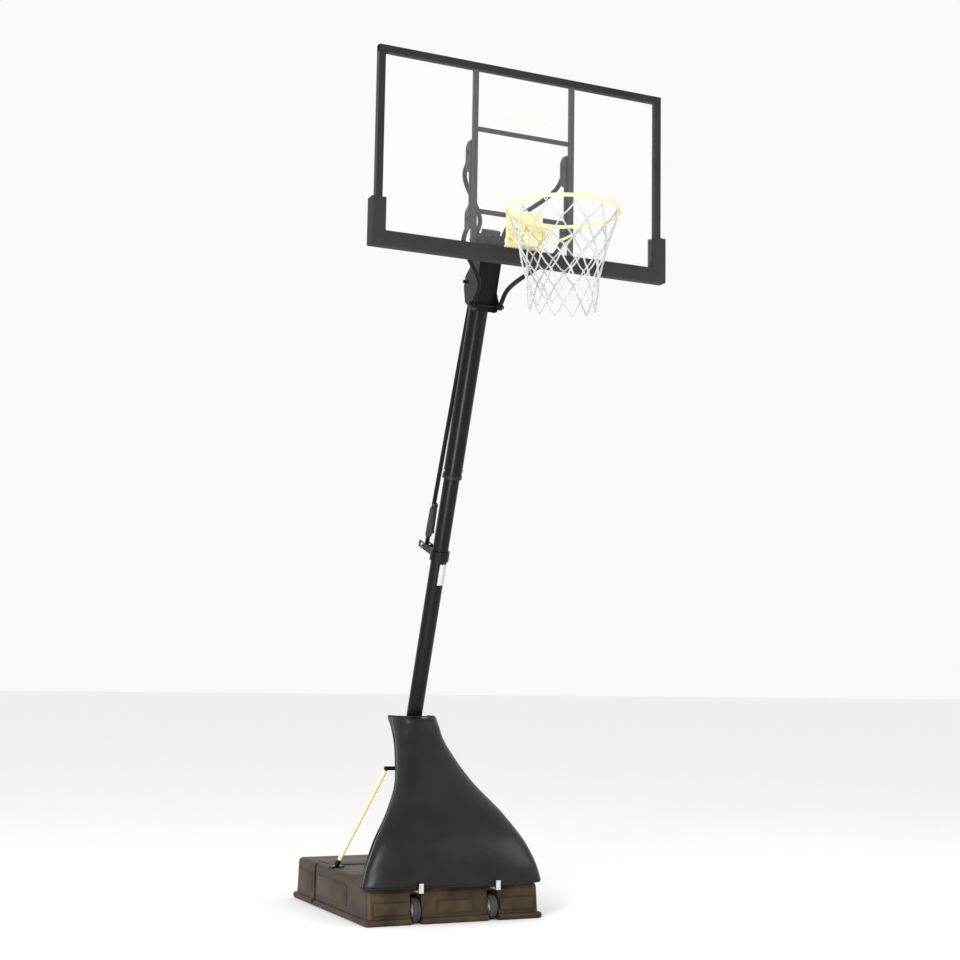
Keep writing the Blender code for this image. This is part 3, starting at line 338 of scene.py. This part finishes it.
def pole_pipe(name, node, low_s, high_s, outer, inner):
    length = high_s - low_s
    ease = 0.0006
    profile = [(outer - ease, 0), (outer, ease), (outer, length - ease), (outer - ease, length),
               (inner, length), (inner, 0)]
    pipe = lathe(on_pole(low_s), on_pole(high_s), profile, 72, closed=True)
    piece(name, pipe, "base", "black_steel", node)


def hug_pole(mesh, radius):
    """Bend a flat ring round the back of the pole, so that the collar slides over it."""
    for vertex in mesh.vertices:
        vertex.co -= POLE_BACK * (radius - math.sqrt(radius ** 2 - vertex.co.x ** 2))


def make_pole():
    pole_pipe("pole_tube_lower", "pole_lower", 0.062, 0.860, POLE_RADIUS, POLE_INNER)
    pole_pipe("pole_tube_middle", "pole_middle", 0.8604, 2.300, POLE_RADIUS, POLE_INNER)
    pole_pipe("pole_tube_upper", "pole_upper", 2.180, 3.330, 0.0445, 0.0425)
    ring = [(0.0388, 0), (0.0460, 0), (0.0468, 0.001), (0.0468, 0.0186), (0.0460, 0.0196), (0.0418, 0.0196),
            (0.0418, 0.055), (0.0388, 0.055)]
    piece("pole_step_ring", lathe(on_pole(2.160), on_pole(3.3), ring, 72, closed=True), "base",
          "black_plastic", "pole_reducer")
    cap = [(0, -0.019), (0.0414, -0.019), (0.0414, 0), (0.0452, 0), (0.0452, 0.005), (0.0435, 0.008),
           (0.036, 0.010), (0, 0.010)]
    piece("pole_end_cap", lathe(on_pole(3.3304), on_pole(3.5), cap, 72), "base", "black_plastic", "pole_cap")
    mouth = [(0.0045, 0), (0.0070, 0), (0.0070, 0.0006), (0.0045, 0.0006)]
    for i in range(1, LOCK_HOLE_GAPS + 1):
        s = LOCK_HOLE_FIRST + LOCK_HOLE_SPAN * i / LOCK_HOLE_GAPS
        rim = lathe(on_pole(s, POLE_RADIUS - 0.0004), on_pole(s, 0.06), mouth, 24, closed=True)
        hug_pole(rim, POLE_RADIUS)
        piece("lock_hole_rim_%d" % i, rim, "base", "zinc_steel")


def make_scale():
    """A plain label with ticks, no lettering."""
    radius, ticks = 0.0400, 9
    label = bmesh.new()
    columns = []
    for i in range(25):
        angle = math.radians(-10 + 110 * i / 24)
        columns.append((-radius * math.cos(angle), radius * math.sin(angle)))
    rows = [[label.verts.new(on_pole(s, u, x)) for u, x in columns] for s in (1.744, 1.641)]
    for i in range(24):
        label.faces.new((rows[0][i], rows[1][i], rows[1][i + 1], rows[0][i + 1]))
    piece("scale_label", finished(label), "base", "scale_plastic", "height_scale")
    marks = []
    for k in range(ticks):
        s = 1.652 + 0.0102 * k
        span = 9 if k % 4 == 0 else 5
        arc = [on_pole(s, u * 1.004, x * 1.004) for u, x in columns[8:8 + span]]
        marks.append(tube(arc, 0.0006, 1))
    piece("scale_ticks", joined(*marks), "base", "black_plastic")


# ---------------------------------------------------------------- struts
def make_struts():
    head_s = 0.690
    for side in (-1, 1):
        foot = Vector((side * 0.385, 0.030, 0.206))
        head = Vector((side * 0.100, on_pole(head_s).y, on_pole(head_s).z))
        length = (head - foot).length
        profile = [(0.0080, 0.026), (0.0090, 0.026), (0.0095, 0.027), (0.0095, length - 0.018),
                   (0.0090, length - 0.017), (0.0080, length - 0.017)]
        piece(sided("brace_strut", side), lathe(foot, head, profile, 40, closed=True), "base", "yellow_steel",
              sided("strut", side))


# ---------------------------------------------------------------- wheels and caps
WHEEL_HALF_WIDTH = 0.017


def make_wheel(side):
    centre = JOINT_PLACE[sided("wheel", side) + "_spin"]
    half = Vector((WHEEL_HALF_WIDTH, 0, 0))
    left, right = centre - half, centre + half
    body = sided("wheel", side)
    tread = [(0.0404, 0.0), (0.049, 0.0), (0.0535, 0.003), (0.055, 0.008), (0.055, 0.0145),
             (0.0535, 0.0155), (0.0535, 0.0185), (0.055, 0.0195), (0.055, 0.026), (0.0535, 0.031),
             (0.049, 0.034), (0.0404, 0.034)]
    piece(sided("tyre", side), lathe(left, right, tread, 72, closed=True), body, "wheel_rubber",
          sided("wheel_tyre", side))
    drum = [(0.0058, 0.0), (0.014, 0.0), (0.015, 0.001), (0.015, 0.0155), (0.034, 0.0155), (0.0345, 0.006),
            (0.0400, 0.005), (0.0400, 0.029), (0.0345, 0.028), (0.034, 0.0185), (0.015, 0.0185),
            (0.015, 0.033), (0.014, 0.034), (0.0058, 0.034)]
    meshes = [lathe(left, right, drum, 64, closed=True)]
    for i in range(6):
        turn = Matrix.Translation(centre) @ Matrix.Rotation(math.pi * i / 3, 4, "X")
        meshes.append(block((-0.011, -0.002, 0.0145), (0.011, 0.002, 0.0350), 0.0008, 2, turn))
    piece(sided("hub", side), joined(*meshes), body, "hub_plastic", sided("wheel_hub", side))


def make_fill_cap():
    low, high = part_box("fill_cap")
    centre = (low + high) / 2
    foot = Vector((centre.x, centre.y, low.z))
    profile = [(0, 0), (0.0190, 0), (0.0190, 0.0165), (0.0295, 0.0165), (0.0295, 0.0265), (0.027, 0.030),
               (0.012, 0.030), (0.011, 0.0285), (0, 0.0285)]
    meshes = [lathe(foot, foot + Vector((0, 0, 1)), profile, 64)]
    for i in range(20):
        turn = Matrix.Translation(foot) @ Matrix.Rotation(2 * math.pi * i / 20, 4, "Z")
        meshes.append(block((0.0290, -0.0022, 0.0175), (0.0309, 0.0022, 0.0270), 0.0006, 2, turn))
    piece("ribbed_fill_cap", joined(*meshes), "fill_cap", "black_plastic", "fill_cap")


# ---------------------------------------------------------------- lifting arms, rod and grip
ARM_HEAD_X = 0.068
ARM_BOARD_X = 0.235
TAIL_X = 0.066
GRIP_FOOT = Vector((0, -0.09527, 1.78069))
GRIP_TOP = Vector((0, -0.15006, 1.91191))


def arm_path(side, start, end, short, count=40):
    """From the head bracket to the board, bending outwards; short is the share left off at each end."""
    points = []
    for i in range(count + 1):
        t = short + (1 - 2 * short) * i / count
        swing = min(max((t - 0.16) / 0.66, 0.0), 1.0)
        x = ARM_HEAD_X + (ARM_BOARD_X - ARM_HEAD_X) * swing * swing * (3 - 2 * swing)
        points.append((side * x, start.y + (end.y - start.y) * t, start.z + (end.z - start.z) * t))
    return points


def eye(x, at, half=0.011, outer=0.016, bore=0.0056):
    left, right = Vector((x - half, at.y, at.z)), Vector((x + half, at.y, at.z))
    profile = [(bore, 0), (outer - 0.001, 0), (outer, 0.001), (outer, 2 * half - 0.001),
               (outer - 0.001, 2 * half), (bore, 2 * half)]
    return lathe(left, right, profile, 40, closed=True)


def make_arms():
    upper, lower = JOINT_PLACE["board_lift"], JOINT_PLACE["lower_arm_swing"]
    run = JOINT_PLACE["board_level"] - upper
    tail = JOINT_PLACE["rod_level"]
    for side in (-1, 1):
        for level, start in (("upper", upper), ("lower", lower)):
            end = start + run
            meshes = [tube(arm_path(side, start, end, short=0.035), 0.0105, 6),
                      eye(side * ARM_HEAD_X, start), eye(side * ARM_BOARD_X, end)]
            if level == "upper":
                along = (tail - start).normalized().to_track_quat("Z", "X").to_matrix().to_4x4()
                bar = Matrix.Translation((side * TAIL_X, start.y, start.z)) @ along
                meshes.append(eye(side * TAIL_X, tail, half=0.003, outer=0.013, bore=0.0052))
                meshes.append(block((-0.011, -0.0028, 0.012), (0.011, 0.0028, (tail - start).length - 0.010),
                                    0.0008, 2, bar))
            piece(sided("bent_arm_" + level, side), joined(*meshes), level + "_arms", "black_steel",
                  sided(level + "_arm", side))


def make_grip():
    length = (GRIP_TOP - GRIP_FOOT).length
    profile = [(0.0117, 0)]
    ribs = 14
    for i in range(ribs):
        base = length * i / ribs
        step = length / ribs
        profile += [(0.0150, base + step * 0.08), (0.0163, base + step * 0.25), (0.0163, base + step * 0.75),
                    (0.0150, base + step * 0.92)]
    profile.append((0.0117, length))
    grip = lathe(GRIP_FOOT, GRIP_TOP, profile, 48, closed=True)
    piece("ribbed_grip", grip, "lift_rod", "wheel_rubber", "handle_grip")


# ---------------------------------------------------------------- rim, springs and net
RIM_CENTRE = Vector((0, -1.4665, 3.050))
RIM_INNER = 0.2286
ROD = 0.008
HOOKS = 12
LIP_BACK = -1.150
LIP_FOOT = 2.978
LIP_TOP = 3.047
CHEEK_X = 0.0692
COIL_X = 0.034
COIL_Z = 2.996
COIL_RADIUS = 0.011
NET_ROWS = 6
NET_DROP = 0.400
NET_TOP_RADIUS = RIM_INNER + 0.003
NET_FOOT_RADIUS = 0.142


def ring_point(angle, radius, height):
    return Vector((radius * math.sin(angle), RIM_CENTRE.y + radius * math.cos(angle), height))


def make_ring():
    middle = RIM_INNER + ROD
    circle = [ring_point(2 * math.pi * i / 144, middle, RIM_CENTRE.z) for i in range(144)]
    rear = RIM_CENTRE.y + middle
    meshes = [tube(circle, ROD, 6, cyclic=True),
              block((-0.0735, rear - 0.004, 3.0455), (0.0735, -1.121, 3.0505), 0.0012),
              block((-0.069, LIP_BACK - 0.004, LIP_FOOT), (0.069, LIP_BACK, LIP_TOP), 0.0012)]
    # The cheeks' lower rear corner is cut away, because it swings towards the board as the rim tips.
    cheek = [(-1.160, LIP_TOP), (-1.160, LIP_FOOT), (-1.146, LIP_FOOT), (-1.120, 3.022), (-1.120, LIP_TOP)]
    brace_angle, brace_steps = math.radians(52), 24
    for side in (-1, 1):
        meshes.append(prism(cheek, side * CHEEK_X - 0.002, side * CHEEK_X + 0.002))
        touch = ring_point(side * brace_angle, middle, RIM_CENTRE.z - 0.004)
        start = Vector((side * 0.070, -1.162, 2.990))
        bend = Vector((side * 0.150, (start.y + touch.y) / 2 + 0.030, 3.004))
        arc = []
        for i in range(brace_steps + 1):
            t = i / brace_steps
            arc.append(start * (1 - t) ** 2 + bend * 2 * t * (1 - t) + touch * t ** 2)
        meshes.append(tube(arc, 0.0055, 5))
    for k in range(HOOKS):
        angle = 2 * math.pi * (k + 0.5) / HOOKS
        loop = []
        for i in range(13):
            turn = math.pi * i / 12
            height = RIM_CENTRE.z - 0.006 - 0.012 * math.sin(turn)
            loop.append(ring_point(angle + 0.030 * math.cos(turn), middle, height))
        meshes.append(tube(loop, 0.0018, 3))
    piece("spring_ring", joined(*meshes), "rim", "rim_steel", "rim_ring")


def make_springs():
    back, front, turns, steps = -1.1080, -1.1478, 7, 24
    for side in (-1, 1):
        coil = []
        for i in range(turns * steps + 1):
            angle = 2 * math.pi * i / steps
            y = back + (front - back) * i / (turns * steps)
            coil.append((side * COIL_X + COIL_RADIUS * math.cos(angle), y,
                         COIL_Z + COIL_RADIUS * math.sin(angle)))
        spring = piece(sided("rim_coil", side), tube(coil, 0.0015, 3), "backboard", "zinc_steel",
                       sided("rim_spring", side))
        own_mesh(spring)


def make_net():
    """Twelve cords that cross and knot row by row, hung from the ring's hooks and drawn in below."""
    rows, top = NET_ROWS, RIM_CENTRE.z - 0.018
    knots = []
    for row in range(rows + 1):
        radius = NET_TOP_RADIUS + (NET_FOOT_RADIUS - NET_TOP_RADIUS) * (1 - (1 - row / rows) ** 1.7)
        ring = []
        for k in range(HOOKS):
            angle = 2 * math.pi * (k + 0.5 * (row % 2) + 0.5) / HOOKS
            wander = 0.004 * math.sin(5.1 * k + 2.3 * row)
            ring.append(ring_point(angle, radius + wander * 0.5, top - NET_DROP * row / rows + wander))
        knots.append(ring)
    meshes = []
    for row in range(rows):
        for k in range(HOOKS):
            nexts = (k, k - 1) if row % 2 == 0 else (k, (k + 1) % HOOKS)
            for n in nexts:
                start, end = knots[row][k], knots[row + 1][n]
                strand = []
                for i in range(9):
                    t = i / 8
                    sag = 0.006 * math.sin(math.pi * t)
                    strand.append(start.lerp(end, t) + Vector((0, 0, -sag)))
                meshes.append(tube(strand, 0.0034, 2))
    for row in range(1, rows + 1):
        for knot in knots[row]:
            ball = [(0, -0.006), (0.0040, -0.0045), (0.0056, 0), (0.0040, 0.0045), (0, 0.006)]
            meshes.append(lathe(knot, knot + Vector((0, 0, 1)), ball, 10))
    piece("knotted_net", joined(*meshes), "rim", "net_cord", "net")


# ---------------------------------------------------------------- board pad and board mark
def make_board_pad():
    """The foam channel: one rounded U, cut out over the frame, from the CAD pad's own box."""
    low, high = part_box("board_pad")
    frame_low, frame_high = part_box("frame_bottom")
    band, gap = 0.065, 0.0004
    pad = piece("foam_board_pad", block(low, high, 0.006, 4), "backboard", "pad_foam", "board_pad")
    above = block((low.x + band, low.y - 0.1, low.z + band),
                  (high.x - band, high.y + 0.1, high.z + 1), 0.004, 4)
    channel = block((frame_low.x - gap, frame_low.y - gap, frame_low.z - gap),
                    (frame_high.x + gap, frame_high.y + gap, high.z + 1), 0.0002, 1)
    carve(pad, above, channel)
    softened = pad.modifiers.new("soft_edges", "BEVEL")
    softened.width = 0.0025
    softened.segments = 3
    softened.angle_limit = math.radians(50)
    softened.limit_method = "ANGLE"
    bake(pad)
    pad.data.shade_smooth()
    pad.data.set_sharp_from_angle(angle=SHARP_ANGLE)


def carve(made, *meshes):
    """Cut meshes out of a piece for good."""
    for mesh in meshes:
        cutter = bpy.data.objects.new("cutter", mesh)
        bpy.context.scene.collection.objects.link(cutter)
        step = made.modifiers.new("carve", "BOOLEAN")
        step.operation = "DIFFERENCE"
        step.object = cutter
        bake(made)
        bpy.data.objects.remove(cutter, do_unlink=True)


def make_board_mark():
    """A plain pale bar on the panel, in place of any lettering."""
    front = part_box("backboard_panel")[0].y
    bar = piece("plain_board_bar", block((-0.115, front - 0.0004, 3.565), (0.115, front - 0.0001, 3.600),
                                         0.0001, 1), "backboard", "yellow_steel")
    bar.data.materials[0] = FINISH["board_mark"]


# ---------------------------------------------------------------- padded front cover
# height, half width, y of the front, y of the side edges
COVER_SECTIONS = [
    (0.905, 0.112, -0.058, 0.110),
    (0.800, 0.128, -0.105, -0.005),
    (0.700, 0.158, -0.195, -0.105),
    (0.590, 0.212, -0.305, -0.235),
    (0.470, 0.300, -0.415, -0.350),
    (0.360, 0.375, -0.490, -0.400),
    (0.250, 0.425, -0.525, -0.430),
    (0.165, 0.450, -0.532, -0.445),
]
COVER_SQUARENESS = 3.2
COVER_INSET = 0.003
COVER_PADDING = 0.011
COVER_SWELL = 0.006
CLOTH_PRESSURE = 4.0
CLOTH_FRAMES = 20


def smooth_section(t):
    """The cover's section at t sections from the top, on a smooth curve through the listed ones."""
    i = min(int(t), len(COVER_SECTIONS) - 2)
    f = t - i
    near = [COVER_SECTIONS[min(max(i + k, 0), len(COVER_SECTIONS) - 1)] for k in (-1, 0, 1, 2)]
    found = []
    for a, b, c, d in zip(*near):
        found.append(b + 0.5 * f * (c - a + f * (2 * a - 5 * b + 4 * c - d + f * (3 * (b - c) + d - a))))
    return found


def cover_point(t, across, inset=COVER_INSET):
    """across runs from -1 at the left edge to 1 at the right one."""
    height, half, front, edge = smooth_section(t)
    angle = math.pi / 2 * across
    side, ahead = math.sin(angle), max(math.cos(angle), 0.0)
    x = (half - inset) * math.copysign(abs(side) ** (2 / COVER_SQUARENESS), side)
    low_down = max(t / (len(COVER_SECTIONS) - 1) - 0.35, 0.0)
    inset += 0.0022 * low_down * (1 + math.sin(9 * across + 5 * t)) * (1 - abs(across))
    return Vector((x, edge - (edge - front - inset) * ahead ** (2 / COVER_SQUARENESS), height))


def make_cover():
    rows, columns = 64, 72
    last = len(COVER_SECTIONS) - 1
    shape = bmesh.new()
    grid = []
    for r in range(rows + 1):
        t = last * r / rows
        grid.append([shape.verts.new(cover_point(t, 2 * c / columns - 1)) for c in range(columns + 1)])
    for r in range(rows):
        for c in range(columns):
            shape.faces.new((grid[r][c], grid[r + 1][c], grid[r + 1][c + 1], grid[r][c + 1]))
    mesh = finished(shape)
    cover = piece("padded_cover", mesh, "base", "cover_vinyl", "front_cover")
    outward = sum((face.normal.y for face in mesh.polygons)) < 0
    shell = cover.modifiers.new("padding", "SOLIDIFY")
    shell.thickness = COVER_PADDING
    shell.offset = -1.0 if outward else 1.0
    bake(cover)
    swell(cover)
    make_cover_trim(last)


def bake(made):
    """Apply a piece's modifiers to its mesh."""
    bpy.context.view_layer.update()
    result = bpy.data.meshes.new_from_object(made.evaluated_get(bpy.context.evaluated_depsgraph_get()))
    made.modifiers.clear()
    made.data = result


def swell(made):
    """Fill the padding by a cloth run under pressure; no point moves further than the swell allows."""
    start = [vertex.co.copy() for vertex in made.data.vertices]
    cloth = made.modifiers.new("cloth", "CLOTH")
    cloth.settings.quality = 5
    cloth.settings.use_pressure = True
    cloth.settings.uniform_pressure_force = CLOTH_PRESSURE
    cloth.settings.effector_weights.gravity = 0.0
    scene = bpy.context.scene
    for step in range(1, CLOTH_FRAMES + 1):
        scene.frame_set(step)
    bake(made)
    scene.frame_set(1)
    for vertex, origin in zip(made.data.vertices, start):
        move = vertex.co - origin
        if move.length > COVER_SWELL:
            vertex.co = origin + move.normalized() * COVER_SWELL
    made.data.shade_smooth()


def make_cover_trim(last):
    """Piping round the cover's edge, and a line of stitches inside it."""
    across = [2 * c / 60 - 1 for c in range(61)]
    down = [last * r / 60 for r in range(61)]
    inset = COVER_INSET + COVER_PADDING / 2
    edges = {
        "top": [cover_point(0, a, inset) for a in across],
        "hem": [cover_point(last, a, inset) for a in across],
        "left": [cover_point(t, -1, inset) for t in down],
        "right": [cover_point(t, 1, inset) for t in down],
    }
    piece("cover_piping", joined(*[tube(run, 0.0045, 4) for run in edges.values()]), "base", "cover_vinyl")
    stitches = []
    for share in (-0.90, 0.90):
        path = [cover_point(last * r / 400, share, COVER_INSET - 0.0022) for r in range(401)]
        for i in range(2, 398, 4):
            stitches.append(tube(path[i:i + 3], 0.0007, 1))
    piece("cover_stitches", joined(*stitches), "base", "scale_plastic")


# ---------------------------------------------------------------- moulded details of the tank
def make_tank_details():
    """Shallow raised panels on the deck and the sides, as blow-moulded tanks have."""
    meshes = []
    for side in (-1, 1):
        x_low, x_high = sorted((side * 0.105, side * 0.385))
        meshes.append(block((x_low, 0.085, 0.198), (x_high, 0.290, 0.2045), 0.003))
        for y_low, y_high in ((-0.225, 0.165), (0.250, 0.455)):
            x_low, x_high = sorted((side * 0.4215, side * 0.4285))
            meshes.append(block((x_low, y_low, 0.055), (x_high, y_high, 0.150), 0.003))
    for x in (-0.31, 0.0, 0.31):
        meshes.append(block((x - 0.085, -0.4975, 0.045), (x + 0.085, -0.488, 0.100), 0.003))
    piece("tank_moulding", joined(*meshes), "base", "tank_plastic")


# ---------------------------------------------------------------- floor and light
def area_light(name, place, aim, power, size):
    lamp = bpy.data.lights.new(name, "AREA")
    lamp.energy = power
    lamp.shape = "SQUARE"
    lamp.size = size
    holder = bpy.data.objects.new(name, lamp)
    bpy.context.scene.collection.objects.link(holder)
    holder.matrix_world = (Matrix.Translation(place)
                           @ (Vector(aim) - Vector(place)).to_track_quat("-Z", "Y").to_matrix().to_4x4())


def make_stage():
    shape = bmesh.new()
    bmesh.ops.create_grid(shape, x_segments=1, y_segments=1, size=60.0)
    mesh = bpy.data.meshes.new("floor")
    shape.to_mesh(mesh)
    shape.free()
    floor = bpy.data.objects.new("floor", mesh)
    bpy.context.scene.collection.objects.link(floor)
    mesh.materials.append(surface("floor", (0.90, 0.90, 0.90), 0.75, mottle=0.01, bump=0.0))

    world = bpy.data.worlds.new("studio")
    bpy.context.scene.world = world
    world.use_nodes = True
    world.node_tree.nodes["Background"].inputs["Color"].default_value = (1.0, 1.0, 1.0, 1.0)
    world.node_tree.nodes["Background"].inputs["Strength"].default_value = 0.95
    bpy.context.scene.view_settings.view_transform = "Standard"
    area_light("key", (-5.0, -4.5, 4.5), (0, -0.3, 1.2), 260.0, 2.5)
    area_light("low_left", (-2.6, -3.6, 0.5), (-0.2, -0.5, 0.3), 90.0, 0.7)
    area_light("fill", (4.5, -4.0, 3.0), (0, -0.5, 1.8), 90.0, 3.0)


make_camera()
finish_cad_nodes()
make_bolts()
make_pole()
make_scale()
make_struts()
make_fill_cap()
make_arms()
make_grip()
make_ring()
make_springs()
make_net()
make_board_pad()
make_board_mark()
make_cover()
make_tank_details()
for hand in (-1, 1):
    make_wheel(hand)
make_stage()
